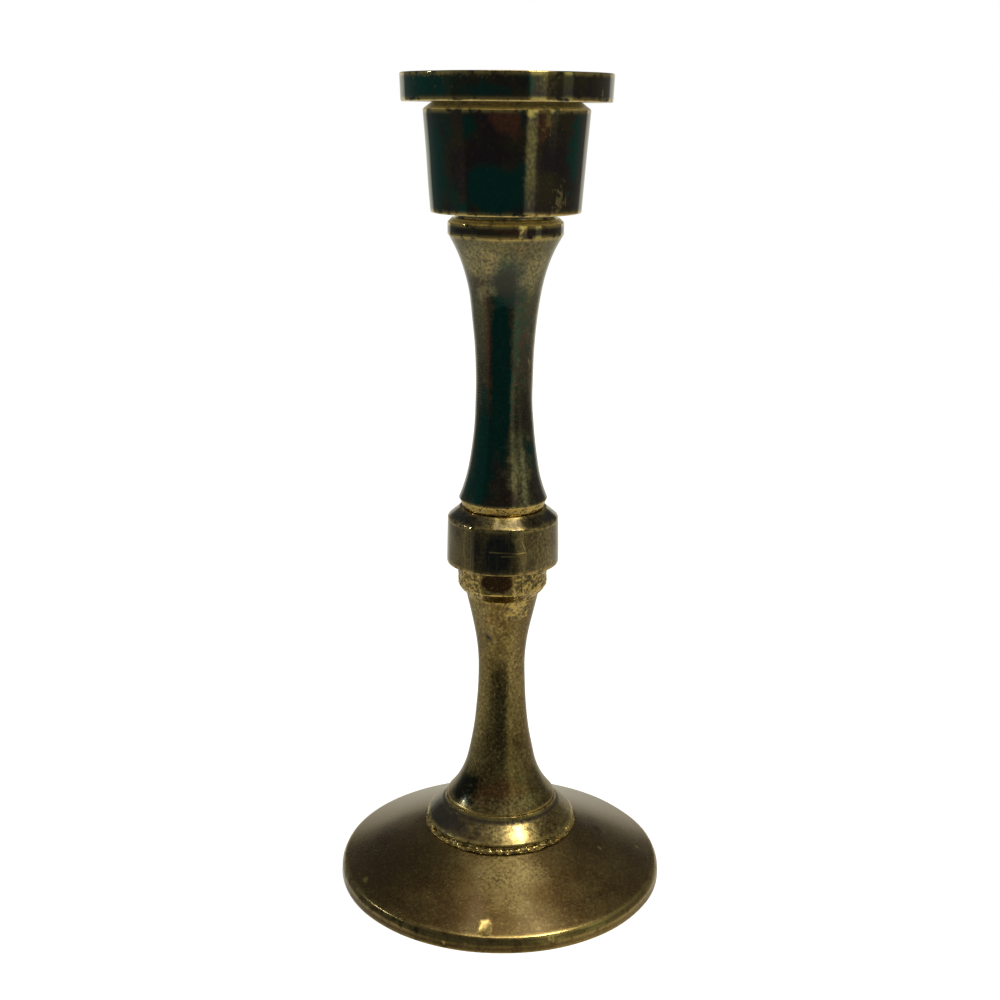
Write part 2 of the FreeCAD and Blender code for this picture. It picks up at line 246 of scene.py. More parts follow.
def stem_curve(waist, end, end_height):
    """Points from a stem's waist to one end: a long shallow arc that runs into a tighter flare."""
    waist_radius, waist_height = waist
    end_radius, body_arc, flare_height = end
    direction = 1 if end_height > waist_height else -1
    body_end = math.asin(abs(flare_height - waist_height) / body_arc)
    flare_radius = waist_radius + body_arc * (1 - math.cos(body_end))
    rise = abs(end_height - flare_height)
    flare_end = 2 * math.atan2(end_radius - flare_radius, rise) - body_end
    flare_arc = rise / (math.sin(flare_end) - math.sin(body_end))
    points = []
    for angle in np.linspace(0, body_end, 24)[1:]:
        radius = waist_radius + body_arc * (1 - math.cos(angle))
        points.append((radius, waist_height + direction * body_arc * math.sin(angle)))
    for angle in np.linspace(body_end, flare_end, 16)[1:]:
        radius = flare_radius + flare_arc * (math.cos(body_end) - math.cos(angle))
        along = flare_arc * (math.sin(angle) - math.sin(body_end))
        points.append((radius, flare_height + direction * along))
    return points


def stem_outline(node, waist_down, waist, waist_up, heights, soft):
    """A stem's outline from its bottom end up the outside, over the top spigot and down the bore."""
    low, high = span(node)[1:]
    bottom, top = heights
    outline = Outline(0.3)
    outline.curve(waist_down[-2::-1]).to(*waist).curve(waist_up[:-1])
    outline.to(*waist_up[-1], soft=soft)
    outline.hidden((SPIGOT_RADIUS, top), (SPIGOT_RADIUS, high), (ROD_BORE_RADIUS, high))
    outline.hidden((ROD_BORE_RADIUS, low), (SPIGOT_RADIUS, low), (SPIGOT_RADIUS, bottom))
    return outline


class Turning:
    """A grid of points round the Z axis, one ring for each point of an outline, that can be worked on.
    Raised says how far each point is moved out, and the marks say how strongly a material shows there."""

    # The marks, in order: worn metal, also painted highlights in some patches; dirt, also painted shade
    # in some patches; real stains; painted shade where the room's dark reflection falls; painted
    # highlights and reflections; dust.
    MARKS = ("worn_and_highlight", "grime_and_shade", "stain", "dark", "light", "dusty")

    def __init__(self, outline, segments, gap=0.0):
        rings = outline.sampled()
        self.radius, self.height, bend, self.shown = rings.T
        self.closed = outline.closed
        self.gap = gap
        self.angle = np.linspace(-180 + gap / 2, 180 - gap / 2, segments, endpoint=gap > 0)
        steps = np.hypot(np.diff(self.radius), np.diff(self.height))
        self.along = np.concatenate(([0.0], np.cumsum(steps)))
        self.outer_edge = self.closeness(bend > 0)
        self.inner_corner = self.closeness(bend < 0)
        self.limit = None
        shape = (len(self.radius), len(self.angle))
        self.raised = np.zeros(shape)
        self.marks = {name: np.zeros(shape) for name in self.MARKS}
        self.normal = self.normals()

    def closeness(self, chosen, width=0.35):
        """1 on the chosen rings, falling off along the outline."""
        if not chosen.any():
            return np.zeros(len(self.along))
        gap = np.abs(self.along[:, None] - self.along[chosen][None, :]).min(1)
        return np.exp(-((gap / width) ** 2))

    def normals(self):
        """Outward direction of each ring in the radius and height plane."""
        points = np.stack((self.radius, self.height), 1)
        if self.closed:
            before, after = np.roll(points, 1, 0), np.roll(points, -1, 0)
        else:
            before = np.vstack((points[:1], points[:-1]))
            after = np.vstack((points[1:], points[-1:]))
        way = after - before
        way /= np.maximum(np.linalg.norm(way, axis=1, keepdims=True), 1e-9)
        return turning_way(self.radius, self.height) * np.stack((way[:, 1], -way[:, 0]), 1)

    def points(self):
        radius = self.radius[:, None] + self.normal[:, :1] * self.raised
        height = self.height[:, None] + self.normal[:, 1:] * self.raised
        radius = np.maximum(radius, 0)
        if self.limit is not None:
            radius = np.minimum(radius, self.limit[None, :])
        angle = np.radians(self.angle)[None, :]
        return np.stack((radius * np.sin(angle), -radius * np.cos(angle), height), -1)

    def uneven(self, size, amount, seed):
        """Gentle bumps of a size and a height."""
        self.raised += amount * noise(self.points() / size, seed)

    def ring_at(self, radius=None, height=None):
        """The shown ring nearest to a radius or a height: of several, the outermost or the topmost."""
        if height is None:
            miss = np.abs(self.radius - radius) - 0.2 * self.height
        else:
            miss = np.abs(self.height - height) - 0.2 * self.radius
        return int(np.argmin(miss + 1e3 * (self.shown < 1)))

    def turned(self, angle):
        """How far round every point is from an angle, in radians."""
        return np.radians((self.angle - angle + 180) % 360 - 180)[None, :]

    def away(self, angle, ring):
        """Distances round and along the surface from a spot to every point."""
        return self.turned(angle) * self.radius[:, None], (self.along - self.along[ring])[:, None]

    def mark(self, name, values):
        self.marks[name] = np.maximum(self.marks[name], values)

    def dent(self, angle, width, tall, depth, worn_and_highlight=0.0, grime_and_shade=0.0, tilt=0.0, **place):
        """An oval dent of ragged outline, width round the piece and tall along it."""
        across, along = self.away(angle, self.ring_at(**place))
        turn = math.radians(tilt)
        side = (across * math.cos(turn) + along * math.sin(turn)) / (width / 2)
        up = (along * math.cos(turn) - across * math.sin(turn)) / (tall / 2)
        ragged = 1 + 0.22 * noise(self.points() / max(0.25 * width, 0.15), 31)
        far = np.hypot(side, up) * ragged
        bowl = np.clip(1.25 - far, 0, 1) ** 0.7
        self.raised -= depth * bowl
        shine = np.exp(-(((far - 1.0) / 0.35) ** 2))
        self.mark("worn_and_highlight", worn_and_highlight * np.maximum(shine, 0.55 * bowl))
        self.mark("grime_and_shade", grime_and_shade * bowl)

    def scratch(self, start, end, width, depth, worn_and_highlight=0.0, fade=0.0, by="height"):
        """A scratch between two spots, each an angle and a height, or an angle and a radius."""
        rows = [self.ring_at(**{by: spot[1]}) for spot in (start, end)]
        middle = self.radius[rows].mean()
        across = self.turned(start[0]) * middle
        along = (self.along - self.along[rows[0]])[:, None]
        far_across = math.radians(end[0] - start[0]) * middle
        far_along = self.along[rows[1]] - self.along[rows[0]]
        length = math.hypot(far_across, far_along)
        share = np.clip((across * far_across + along * far_along) / length**2, 0, 1)
        off = np.hypot(across - share * far_across, along - share * far_along)
        line = np.exp(-((off / width) ** 2)) * (1 - fade * share)
        self.raised -= depth * line
        self.mark("worn_and_highlight", worn_and_highlight * line)

    def pits(self, count, size, depth, seed, heights=None, angles=(-180, 180), worn_and_highlight=0.0, grime_and_shade=0.0):
        """Random small pits on the shown surface."""
        random = np.random.default_rng(seed)
        low, high = heights or (self.height.min(), self.height.max())
        inside = (self.height >= low) & (self.height <= high) & (self.radius > PIT_INNER_RADIUS)
        rows = np.flatnonzero(inside & (self.shown > 0))
        for _ in range(count):
            ring = int(random.choice(rows))
            angle = random.uniform(*angles)
            width = size * random.uniform(0.5, 1.5)
            across, along = self.away(angle, ring)
            near = np.exp(-((across / width) ** 2 + (along / (width * random.uniform(0.5, 1.1))) ** 2))
            self.raised -= depth * random.uniform(0.4, 1.0) * near
            self.mark("grime_and_shade", grime_and_shade * near)
            self.mark("worn_and_highlight", worn_and_highlight * np.clip(near * (1 - near) * 4, 0, 1))

    def paint(self, mark, angle, width, tall, amount=1.0, ragged=0.5, soft=1.0, seed=0, **place):
        """A patch of a mark with a ragged outline, width round the piece and tall along it."""
        across, along = self.away(angle, self.ring_at(**place))
        far = np.hypot(across / (width / 2), along / (tall / 2))
        far = far * (1 + ragged * noise(self.points() / (0.3 * min(width, tall)), seed + 53))
        self.mark(mark, amount * np.clip((1 - far) / soft + 0.5, 0, 1))

    def cover(self, mark, amount, low, high, soft=0.3):
        """A mark all the way round between two heights, on the shown surface."""
        above = np.clip((self.height - low) / soft + 1, 0, 1)
        below = np.clip((high - self.height) / soft + 1, 0, 1)
        self.mark(mark, (amount * above * below * self.shown)[:, None])

    def underside(self, mark, amount):
        """A mark on the faces that look down."""
        down = np.clip(-2.5 * self.normal[:, 1] - 1.2, 0, 1)
        self.mark(mark, (amount * down)[:, None])

    def chatter(self, angle, width, tall, depth, pitch=0.55, **place):
        """Short fine ridges round the piece, left by a chattering tool."""
        across, along = self.away(angle, self.ring_at(**place))
        inside = np.exp(-((across / (width / 2)) ** 2) - (along / (tall / 2)) ** 4)
        self.raised += depth * inside * np.sin(2 * math.pi * along / pitch)

    def sector(self, low, high, soft=5.0):
        """1 on the shown surface between two angles, 0 outside them."""
        off = np.abs((self.angle - (low + high) / 2 + 180) % 360 - 180)
        return np.clip(((high - low) / 2 - off) / soft + 0.5, 0, 1)[None, :] * self.shown[:, None]

    def lumps(self, size, amount, seed, worn_and_highlight=1.0, grime_and_shade=1.0, where=1.0):
        """Rough lumps, bright on top and dirty in between. They lie mostly inside the outline."""
        bumps = noise(self.points() / size, seed) * where
        self.raised += amount * (bumps - 0.8 * where)
        self.mark("worn_and_highlight", worn_and_highlight * np.clip(2.5 * bumps, 0, 1))
        self.mark("grime_and_shade", grime_and_shade * np.clip(-2.5 * bumps - 0.2, 0, 1))

    def mesh(self, name, points):
        """A closed mesh of the grid, with the marks on its points. A ring on the axis is one point."""
        rings, segments = points.shape[:2]
        count = np.where(self.radius < 1e-6, 1, segments)
        index = (np.cumsum(count) - count)[:, None] + np.arange(segments) * (count > 1)[:, None]
        pairs = [(ring, ring + 1) for ring in range(rings - 1)]
        if self.closed:
            pairs.append((rings - 1, 0))
        faces = []
        for low, high in pairs:
            for here in range(segments - 1 if self.gap else segments):
                there = (here + 1) % segments
                corners = (index[low, here], index[low, there], index[high, there], index[high, here])
                faces.append(list(dict.fromkeys(int(corner) for corner in corners)))
        if self.gap:
            faces.append(index[:, 0].tolist())
            faces.append(index[:, -1].tolist())

        def kept(values):
            return np.concatenate([values[ring, :count[ring]] for ring in range(rings)])

        mesh = bpy.data.meshes.new(name)
        mesh.from_pydata(kept(points).tolist(), [], faces)
        shape = points.shape[:2]
        edge = np.broadcast_to(self.outer_edge[:, None], shape)
        corner = np.broadcast_to(self.inner_corner[:, None], shape)
        for mark, values in dict(self.marks, edge=edge, corner=corner).items():
            mesh.attributes.new(mark, "FLOAT", "POINT").data.foreach_set("value", kept(values))
        made = bmesh.new()
        made.from_mesh(mesh)
        bmesh.ops.recalc_face_normals(made, faces=made.faces)
        if made.calc_volume(signed=True) < 0:
            bmesh.ops.reverse_faces(made, faces=made.faces)
        made.to_mesh(mesh)
        made.free()
        mesh.shade_smooth()
        return mesh

    def piece(self, node, material, slot):
        """Puts the mesh in the node's place, and keeps it inside the node's radius and heights."""
        outer, bottom, top = span(node)
        limit = np.full(len(self.angle), outer)
        self.limit = limit if self.limit is None else np.minimum(self.limit, limit)
        points = self.points()
        points[..., 2] = np.clip(points[..., 2], bottom, top)
        mesh = self.mesh(node + "_finished", points * MM)
        mesh.materials.append(material)
        made = add_object(mesh.name, mesh)
        body = next(b for b, nodes in frame["record"]["behaviour"]["bodies"].items() if node in nodes)
        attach(made, body)
        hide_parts(node)


# ---- materials ----
class Graph:
    """Short names for the shader nodes that the materials use."""

    def __init__(self, tree):
        self.tree = tree
        tree.nodes.clear()

    def add(self, kind, inputs=None, **settings):
        node = self.tree.nodes.new("ShaderNode" + kind)
        for key, value in settings.items():
            setattr(node, key, value)
        for key, value in (inputs or {}).items():
            self.set(node.inputs[key], value)
        return node

    def set(self, socket, value):
        if isinstance(value, bpy.types.NodeSocket):
            self.tree.links.new(value, socket)
        else:
            socket.default_value = value

    def math(self, operation, first, second=0.0, clamp=False):
        node = self.add("Math", {0: first, 1: second}, operation=operation, use_clamp=clamp)
        return node.outputs[0]

    def times(self, first, second, clamp=False):
        return self.math("MULTIPLY", first, second, clamp)

    def plus(self, first, second, clamp=False):
        return self.math("ADD", first, second, clamp)

    def most(self, first, second, clamp=False):
        return self.math("MAXIMUM", first, second, clamp)

    def less(self, value, share):
        """1 less a share of the value."""
        return self.math("SUBTRACT", 1.0, self.times(value, share))

    def between(self, value, low, high, to_low=0.0, to_high=1.0, kind="SMOOTHSTEP"):
        """value from low to high, remapped and clamped."""
        inputs = {"Value": value, 1: low, 2: high, 3: to_low, 4: to_high}
        return self.add("MapRange", inputs, interpolation_type=kind).outputs[0]

    def mix(self, share, first, second, kind="MIX"):
        node = self.add("Mix", data_type="RGBA", blend_type=kind)
        self.set(node.inputs[0], share)
        self.set(node.inputs[6], first)
        self.set(node.inputs[7], second)
        return node.outputs[2]

    def noise(self, vector, size, detail=2.0, rough=0.5):
        """Noise whose bumps are about size millimetres."""
        inputs = {"Vector": vector, "Scale": 1.0 / size, "Detail": detail, "Roughness": rough}
        return self.add("TexNoise", inputs).outputs["Fac"]

    def mark(self, name):
        return self.add("Attribute", attribute_name=name).outputs["Fac"]

    def place(self):
        """Where on the object a point is, in millimetres."""
        place = self.add("TexCoord").outputs["Object"]
        return self.add("VectorMath", {0: place, "Scale": 1 / MM}, operation="SCALE").outputs[0]

    def stretched(self, place, *scale):
        return self.add("VectorMath", {0: place, 1: scale}, operation="MULTIPLY").outputs[0]

    def surface(self, inputs):
        shader = self.add("BsdfPrincipled", inputs)
        output = self.add("OutputMaterial")
        self.set(output.inputs["Surface"], shader.outputs[0])


def new_material(name):
    material = bpy.data.materials.new(name)
    material.use_nodes = True
    return material, Graph(material.node_tree)


def rgb(red, green, blue):
    return (red, green, blue, 1.0)


# Worn metal's gold, also the colour of painted highlights; dirt's near-black, also the colour of painted
# shade.
GOLD = rgb(0.80, 0.60, 0.21)
GRIME_AND_SHADE = rgb(0.022, 0.013, 0.007)

# How much the turning marks change round the piece, and how deep the finest relief is.
RING_CHANGE = 0.25
BRASS_BUMP = 0.012
STEEL_BUMP = 0.02

# The usual look of the brass: colours, sizes in millimetres, and strengths from 0 to 1.
BRASS = {
    "brown": rgb(0.16, 0.10, 0.045),
    "olive": rgb(0.26, 0.20, 0.085),
    # dark: the teal-black of dark patina blotches and of painted shade
    "dark": rgb(0.018, 0.040, 0.034),
    "stain": rgb(0.20, 0.09, 0.06),
    # pale: the colour of pale speckles and of painted highlights
    "pale": rgb(0.50, 0.40, 0.17),
    "tone_size": 7.0,
    "dark_share": 0.35,
    "dark_size": 6.0,
    "speckle": 0.35,
    "speckle_size": 0.55,
    "pepper": 0.5,
    "mottle": 0.4,
    "wear": 0.6,
    "rough": (0.22, 0.40),
    "rings": 0.5,
    "ring_pitch": 0.3,
    "streaks": 0.0,
    "anisotropic": 0.35,
    "coat": 0.35,
    "coat_rough": 0.15,
    "dust": rgb(0.45, 0.38, 0.17),
}


def aged_brass(name, **changes):
    """Old brass: a mottled patina with thin, worn and dirty places, turning marks, and painted highlights
    and shade.
    """
    look = dict(BRASS, **changes)
    material, graph = new_material(name)
    place = graph.place()
    axes = graph.add("SeparateXYZ", {0: place}).outputs
    radius = graph.plus(graph.times(axes[0], axes[0]), graph.times(axes[1], axes[1]))
    radius = graph.math("SQRT", radius)
    # ring space: the same all the way round, apart from a slow change
    ring_x = graph.times(graph.math("DIVIDE", axes[0], radius), RING_CHANGE)
    ring_y = graph.times(graph.math("DIVIDE", axes[1], radius), RING_CHANGE)
    ring_place = graph.add("CombineXYZ", {0: ring_x, 1: ring_y, 2: axes[2]}).outputs[0]
    rings = graph.add("TexNoise", {"Vector": ring_place, "W": radius, "Scale": 1 / look["ring_pitch"],
                                   "Detail": 2.0, "Roughness": 0.6}, noise_dimensions="4D").outputs["Fac"]
    tone = graph.noise(place, look["tone_size"], detail=4.0, rough=0.6)
    fine = graph.noise(place, look["speckle_size"], detail=3.0, rough=0.65)
    finer = graph.noise(place, 0.6 * look["speckle_size"], detail=4.0)
    blotch = graph.noise(graph.stretched(place, 1.0, 1.0, 0.4), look["dark_size"], detail=3.0)

    # the patina: two tones, dark blotches with painted shade, stains, pale speckles, painted highlights
    # and dark pepper
    colour = graph.mix(graph.between(tone, 0.38, 0.62), look["brown"], look["olive"])
    dark_from = 0.70 - 0.40 * look["dark_share"]
    # Dark patina blotches, joined with the dark mark, which is painted shade.
    dark = graph.most(graph.between(blotch, dark_from, dark_from + 0.16), graph.mark("dark"))
    colour = graph.mix(dark, colour, look["dark"])
    stain = graph.times(graph.mark("stain"), graph.between(fine, 0.25, 0.6, 0.6, 1.0))
    colour = graph.mix(stain, colour, look["stain"])
    speckle = graph.times(graph.between(fine, 0.55, 0.72), look["speckle"])
    colour = graph.mix(graph.times(speckle, graph.less(dark, 0.8)), colour, look["pale"])
    # The light mark is a painted highlight: pale where reflections and highlights fall.
    light = graph.times(graph.mark("light"), graph.between(fine, 0.35, 0.6, 0.35, 1.0))
    colour = graph.mix(light, colour, look["pale"])
    pepper = graph.between(finer, 0.58, 0.68, 0.0, look["pepper"])
    colour = graph.mix(graph.times(pepper, graph.between(tone, 0.35, 0.6)), colour, look["dark"])
    mottle = graph.between(fine, 0.3, 0.7, 1 - look["mottle"], 1 + look["mottle"], kind="LINEAR")
    mottle = graph.add("CombineColor", {0: mottle, 1: mottle, 2: mottle}).outputs[0]
    colour = graph.mix(1.0, colour, mottle, kind="MULTIPLY")
    if look["streaks"]:
        streak = graph.noise(graph.stretched(place, 1.0, 1.0, 0.08), 0.5)
        colour = graph.mix(graph.between(streak, 0.5, 0.7, 0.0, look["streaks"]), colour, look["pale"])

    # worn metal and painted highlights, dirt and painted shade, and dust on top
    worn_and_highlight = graph.times(graph.mark("edge"), look["wear"])
    worn_and_highlight = graph.times(worn_and_highlight, graph.between(graph.noise(place, 1.6, detail=4.0), 0.34, 0.52))
    worn_and_highlight = graph.most(worn_and_highlight, graph.mark("worn_and_highlight"))
    worn_and_highlight = graph.times(worn_and_highlight, graph.between(fine, 0.25, 0.5, 0.6, 1.0), clamp=True)
    colour = graph.mix(worn_and_highlight, colour, GOLD)
    # Dirt in inner corners, joined with the grime mark: dirt, and in some patches painted shade.
    dirt_and_shade = graph.times(graph.mark("corner"), graph.between(fine, 0.3, 0.6, 0.5, 0.95))
    dirt_and_shade = graph.most(dirt_and_shade, graph.mark("grime_and_shade"), clamp=True)
    colour = graph.mix(dirt_and_shade, colour, GRIME_AND_SHADE)
    dusty = graph.times(graph.mark("dusty"), graph.between(fine, 0.2, 0.6, 0.6, 1.0))
    colour = graph.mix(dusty, colour, look["dust"])

    rough = graph.plus(graph.times(fine, 0.5), graph.times(tone, 0.5))
    rough = graph.between(rough, 0.3, 0.7, *look["rough"], kind="LINEAR")
    rough = graph.times(rough, graph.less(dark, 0.4))
    rough = graph.plus(rough, graph.times(dirt_and_shade, 0.35))
    rough = graph.math("SUBTRACT", rough, graph.times(worn_and_highlight, 0.06))
    rough = graph.plus(rough, graph.times(dusty, 0.2), clamp=True)
    height = graph.plus(graph.times(rings, look["rings"]), graph.times(fine, 0.6))
    bump = graph.add("Bump", {"Height": height, "Strength": 0.6, "Distance": BRASS_BUMP * MM})
    graph.surface({
        "Base Color": colour,
        "Metallic": graph.less(graph.most(dirt_and_shade, dusty), 0.8),
        "Roughness": rough,
        "Anisotropic": look["anisotropic"],
        "Coat Weight": look["coat"],
        "Coat Roughness": look["coat_rough"],
        "Normal": bump.outputs[0],
        "Tangent": graph.add("Tangent", direction_type="RADIAL", axis="Z").outputs[0],
    })
    return material


def dull_steel(name):
    """Plated steel gone dull, with spots of rust."""
    material, graph = new_material(name)
    place = graph.place()
    cloud = graph.noise(place, 1.5, detail=4.0)
    fine = graph.noise(place, 0.2, detail=3.0)
    rust = graph.between(graph.noise(place, 0.9, detail=5.0, rough=0.7), 0.56, 0.66)
    colour = graph.mix(cloud, rgb(0.30, 0.29, 0.27), rgb(0.48, 0.47, 0.45))
    colour = graph.mix(graph.mark("edge"), colour, rgb(0.62, 0.61, 0.59))
    colour = graph.mix(graph.times(rust, 0.8), colour, rgb(0.14, 0.06, 0.025))
    rough = graph.between(fine, 0.3, 0.7, 0.34, 0.55, kind="LINEAR")
    rough = graph.plus(rough, graph.times(rust, 0.3), clamp=True)
    height = graph.plus(fine, rust)
    bump = graph.add("Bump", {"Height": height, "Strength": 0.5, "Distance": STEEL_BUMP * MM})
    graph.surface({
        "Base Color": colour,
        "Metallic": graph.less(rust, 0.7),
        "Roughness": rough,
        "Normal": bump.outputs[0],
    })
    return material


# ---- the turned brass sections ----
# Marks, dents and scratches are placed one by one, each at an angle and at a height or a radius.
def drip_pan():
    radius, bottom, top = span("drip_pan")
    hole = span("candle_sleeve")[0]
    rim_inner = radius - PAN_RIM_WIDTH
    floor = top - PAN_DISH_DEPTH
    outline = Outline(0.3)
    outline.hidden((hole, bottom))
    outline.to(PAN_BOTTOM_RADIUS, bottom, soft=0.3)
    outline.to(radius, top, soft=0.3)
    outline.to(rim_inner, top, soft=0.3)
    for turn in np.radians(np.linspace(15, 90, 8)):
        dish_radius = rim_inner - PAN_DISH_CURVE * (1 - math.cos(turn))
        outline.to(dish_radius, top - PAN_DISH_DEPTH * math.sin(turn))
    outline.to(hole, floor)
    made = Turning(outline, 600)
    made.uneven(6.0, 0.04, 11)
    made.underside("dusty", 1.0)
    made.dent(60, 0.5, 0.9, 0.12, worn_and_highlight=0.7, height=bottom + 1.4)
    made.paint("worn_and_highlight", -31, 5.5, 0.7, 0.9, ragged=0.9, height=top - 0.25)
    made.paint("worn_and_highlight", 2, 4.6, 0.5, 0.5, ragged=0.9, seed=1, height=top - 0.2)
    # Painted shade on the left and front, and a painted highlight on the right.
    made.paint("dark", -55, 16.0, 4.6, height=bottom + 2.4)
    made.paint("dark", -12, 8.0, 2.4, 0.8, seed=2, height=bottom + 1.8)
    made.paint("light", 22, 2.6, 4.0, 0.3, seed=3, height=bottom + 2.8)
    made.scratch((-20, bottom + 0.12), (-14, bottom + 0.1), 0.12, 0.02, worn_and_highlight=1.0)
    return made


def candle_sleeve():
    radius, bottom, top = span("candle_sleeve")
    bore = radius - SLEEVE_WALL
    floor = bottom + SLEEVE_WALL
    outline = Outline(0.4, closed=False)
    outline.to(0, bottom)
    outline.to(radius, bottom, soft=0.4)
    outline.to(radius, top, soft=0.2)
    outline.to(bore, top, soft=0.2)
    outline.to(bore, floor, soft=0.4)
    outline.to(0, floor)
    made = Turning(outline, 360)
    made.uneven(5.0, 0.03, 12)
    return made


def candle_cup():
    radius, bottom, top = span("candle_cup")
    foot_top = bottom + SPIGOT_LENGTH + CUP_FOOT_LENGTH
    bore = span("candle_sleeve")[0] + CUP_CLEARANCE
    floor = span("top_washer")[1]
    outline = Outline(0.3)
    outline.to(ROD_BORE_RADIUS, floor)
    outline.to(bore, floor, soft=0.3)
    outline.to(bore, top, soft=0.15)
    outline.to(radius - CUP_SHOULDER_WIDTH, top, soft=0.15)
    outline.to(radius, top - CUP_SHOULDER_HEIGHT, soft=0.22)
    outline.to(CUP_BOTTOM_RADIUS, foot_top, soft=0.28)
    outline.to(CUP_FOOT_RADIUS, foot_top, soft=0.1)
    outline.to(CUP_FOOT_RADIUS, bottom + SPIGOT_LENGTH, soft=0.1)
    outline.hidden((SPIGOT_RADIUS, bottom + SPIGOT_LENGTH), (SPIGOT_RADIUS, bottom))
    outline.hidden((ROD_BORE_RADIUS, bottom))
    made = Turning(outline, 540)
    made.uneven(7.0, 0.05, 13)
    made.underside("dusty", 0.8)
    made.cover("dusty", 0.55, top - CUP_SHOULDER_HEIGHT + 0.1, top)
    # Painted shade: dark patches where the room's dark reflection falls.
    made.paint("dark", -60, 7.0, 17.0, height=136.0)
    made.paint("dark", -8, 9.5, 8.5, soft=0.4, seed=1, height=132.8)
    made.paint("dark", -26, 2.6, 3.0, 0.9, soft=0.6, seed=2, height=144.0)
    made.paint("dark", 56, 3.4, 11.0, soft=0.6, seed=3, height=139.5)
    made.paint("stain", 0, 5.4, 4.4, 0.8, ragged=0.4, soft=0.7, seed=4, height=144.9)
    made.paint("stain", 25, 2.2, 4.4, 0.5, soft=0.8, seed=5, height=144.2)
    made.paint("worn_and_highlight", 15.2, 1.1, 1.6, 0.8, seed=6, height=145.9)
    made.paint("worn_and_highlight", 28, 0.8, 2.2, 0.55, ragged=0.9, seed=7, height=144.7)
    # Painted highlights: the band lit by the strip light down the right, and a spot low on the right.
    made.paint("light", 16.5, 1.8, 14.0, 0.3, ragged=0.6, seed=8, height=139.5)
    made.paint("light", 42, 1.3, 3.0, 0.8, ragged=0.9, soft=0.5, seed=9, height=131.0)
    made.scratch((40, 133.2), (44, 132.6), 0.12, 0.03, worn_and_highlight=0.9)
    return made


def cup_collar():
    radius, bottom, top = span("cup_collar")
    outline = Outline(0.15)
    outline.hidden((RECESS_RADIUS, top))
    outline.to(radius - COLLAR_CHAMFER, top, soft=0.15)
    outline.to(radius, top - COLLAR_CHAMFER, soft=0.15)
    outline.to(radius, bottom, soft=0.15)
    outline.hidden((RECESS_RADIUS, bottom))
    made = Turning(outline, 480)
    made.uneven(3.0, 0.04, 14)
    made.cover("dusty", 0.4, top - COLLAR_CHAMFER + 0.15, top, soft=0.15)
    made.paint("stain", 4, 5.0, 1.6, 0.35, height=126.1)
    made.paint("worn_and_highlight", 15.8, 0.9, 1.0, ragged=0.8, seed=1, height=127.1)
    made.paint("worn_and_highlight", 28, 1.6, 0.7, 0.6, ragged=0.9, seed=2, height=127.3)
    return made


def upper_stem():
    bottom = span("upper_ring")[2]
    top = span("cup_collar")[1]
    waist_up = stem_curve(UPPER_WAIST, UPPER_STEM_TOP_END, top)
    waist_down = stem_curve(UPPER_WAIST, UPPER_STEM_BOTTOM_END, bottom)
    outline = stem_outline("upper_stem", waist_down, UPPER_WAIST, waist_up, (bottom, top), soft=0.15)
    outline.to(*waist_down[-1], soft=0.15, fine=False)
    made = Turning(outline, 420)
    made.uneven(5.0, 0.05, 15)
    # Painted shade: dark bands and patches where the room's dark reflection falls, and a dirt-coloured
    # patch of painted shade on the top flare's front.
    made.paint("dark", -7, 3.7, 34.0, ragged=0.2, soft=0.3, height=100.5)
    made.paint("dark", -38, 5.6, 22.0, ragged=0.3, soft=0.6, seed=1, height=86.0)
    made.paint("dark", 3, 5.8, 9.0, ragged=0.25, soft=0.8, seed=12, height=117.0)
    made.paint("grime_and_shade", 3, 5.6, 7.4, 0.85, ragged=0.3, soft=0.9, seed=13, height=117.4)
    made.paint("stain", -31, 0.9, 22.0, 0.9, seed=2, height=106.0)
    made.paint("dark", -60, 5.0, 5.0, ragged=0.3, seed=3, height=80.0)
    made.paint("dark", 32, 2.6, 13.0, 0.6, ragged=0.9, seed=10, height=107.0)
    made.paint("stain", 36, 1.6, 7.0, 0.6, ragged=0.9, seed=11, height=106.0)
    made.paint("stain", 0, 4.0, 7.0, 0.3, seed=4, height=80.0)
    # Painted highlights and reflections: the top flare, both sides and a patch low on the right.
    made.cover("light", 0.35, 121.5, top, soft=6.0)
    made.paint("light", -38, 8.0, 7.0, 0.8, ragged=0.6, seed=5, height=121.0)
    made.paint("light", 42, 7.0, 8.0, 0.7, ragged=0.6, seed=6, height=120.0)
    made.paint("light", 72, 2.4, 26.0, 0.5, ragged=0.3, seed=7, height=106.0)
    made.paint("light", -72, 2.4, 24.0, 0.25, ragged=0.3, seed=9, height=106.0)
    made.paint("light", 30, 4.0, 9.0, 0.7, ragged=0.6, seed=8, height=82.0)
    made.dent(58, 0.35, 1.8, 0.14, worn_and_highlight=0.3, grime_and_shade=0.9, tilt=20, height=102.0)
    made.chatter(-64, 2.8, 10.0, 0.035, height=99.5)
    made.chatter(45, 3.4, 6.0, 0.02, height=91.0)
    return made


def upper_ring():
    radius, bottom, top = span("upper_ring")
    outline = Outline(0.1)
    outline.hidden((RECESS_RADIUS, bottom))
    outline.to(UPPER_RING_BOTTOM_RADIUS, bottom, soft=0.15, fine=False)
    outline.to(radius, top, soft=0.15)
    outline.hidden((RECESS_RADIUS, top))
    made = Turning(outline, 480)
    made.uneven(1.2, 0.05, 16)
    made.pits(120, 0.16, 0.12, 61, worn_and_highlight=0.6, grime_and_shade=1.0)
    made.paint("stain", -3, 4.6, 1.6, 0.6, height=75.7)
    made.paint("worn_and_highlight", -38, 8.0, 1.5, 0.6, ragged=0.8, seed=1, height=75.8)
    made.paint("worn_and_highlight", 40, 8.0, 1.5, 0.6, ragged=0.8, seed=2, height=75.8)
    made.dent(31, 0.4, 0.3, 0.15, grime_and_shade=1.0, height=75.6)
    return made


